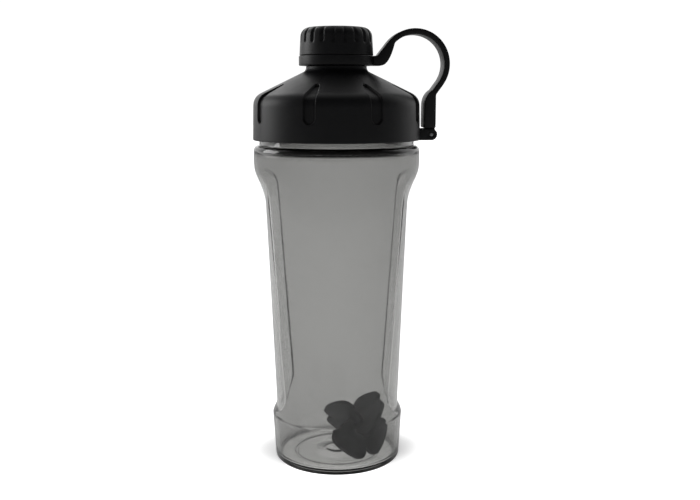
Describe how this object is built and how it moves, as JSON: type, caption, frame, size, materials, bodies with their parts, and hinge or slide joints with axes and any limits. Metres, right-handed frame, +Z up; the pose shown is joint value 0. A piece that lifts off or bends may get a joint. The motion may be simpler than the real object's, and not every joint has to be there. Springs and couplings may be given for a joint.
{
  "type": "protein shaker bottle",
  "caption": "Smoky clear drinks shaker with side grips, a black screw lid, a spout cap on a hinged carry loop and a loose paddle mixer.",
  "frame": {"origin": "centre of the bottle's flat underside, on the bottle's axis", "axes": "+Z up along the bottle's axis; +X towards the carry loop's hinge; +Y across the hinge pin"},
  "size_m": [0.1162, 0.0992, 0.262],
  "materials": {
    "smoky_copolyester": "clear, smoky grey, glossy",
    "black_polypropylene": "satin moulded",
    "slate_polypropylene": "satin moulded",
    "black_silicone": "matt moulded",
    "steel_pin": "drawn"
  },
  "bodies": {
    "bottle": {"bottle_body": "smoky_copolyester"},
    "lid_seal": {"lid_gasket": "black_silicone"},
    "lid": {"lid_shell": "black_polypropylene", "hinge_pin": "steel_pin"},
    "loop": {"carry_loop": "black_polypropylene"},
    "cap_seal": {"cap_liner": "black_silicone"},
    "cap": {"spout_cap": "black_polypropylene"},
    "mixer": {"mixer": "slate_polypropylene"}
  },
  "joints": [
    {"name": "lid_lift", "type": "slide", "parent": "bottle", "child": "lid_seal", "axis": [0, 0, 1], "range_m": [0, 0.019]},
    {"name": "lid_turn", "type": "hinge", "parent": "lid_seal", "child": "lid", "pos_m": [0, 0, 0.196], "axis": [0, 0, 1], "range_deg": [0, 565]},
    {"name": "loop_swing", "type": "hinge", "parent": "lid", "child": "loop", "pos_m": [0.0562, 0, 0.1991], "axis": [0, 1, 0], "range_deg": [0, 170]},
    {"name": "cap_lift", "type": "slide", "parent": "loop", "child": "cap_seal", "axis": [0, 0, 1], "range_m": [0, 0.0031]},
    {"name": "cap_turn", "type": "hinge", "parent": "cap_seal", "child": "cap", "pos_m": [0, 0, 0.2452], "axis": [0, 0, 1], "range_deg": [0, 450]},
    {"name": "mixer_slide", "type": "slide", "parent": "bottle", "child": "mixer", "axis": [-0.0903, 0.0764, 0.993], "range_m": [0, 0.145]}
  ],
  "couplings": [
    {"joint": "lid_lift", "follows": "lid_turn", "m_per_rad": 0.0019099},
    {"joint": "cap_lift", "follows": "cap_turn", "m_per_rad": 0.00038197}
  ]
}
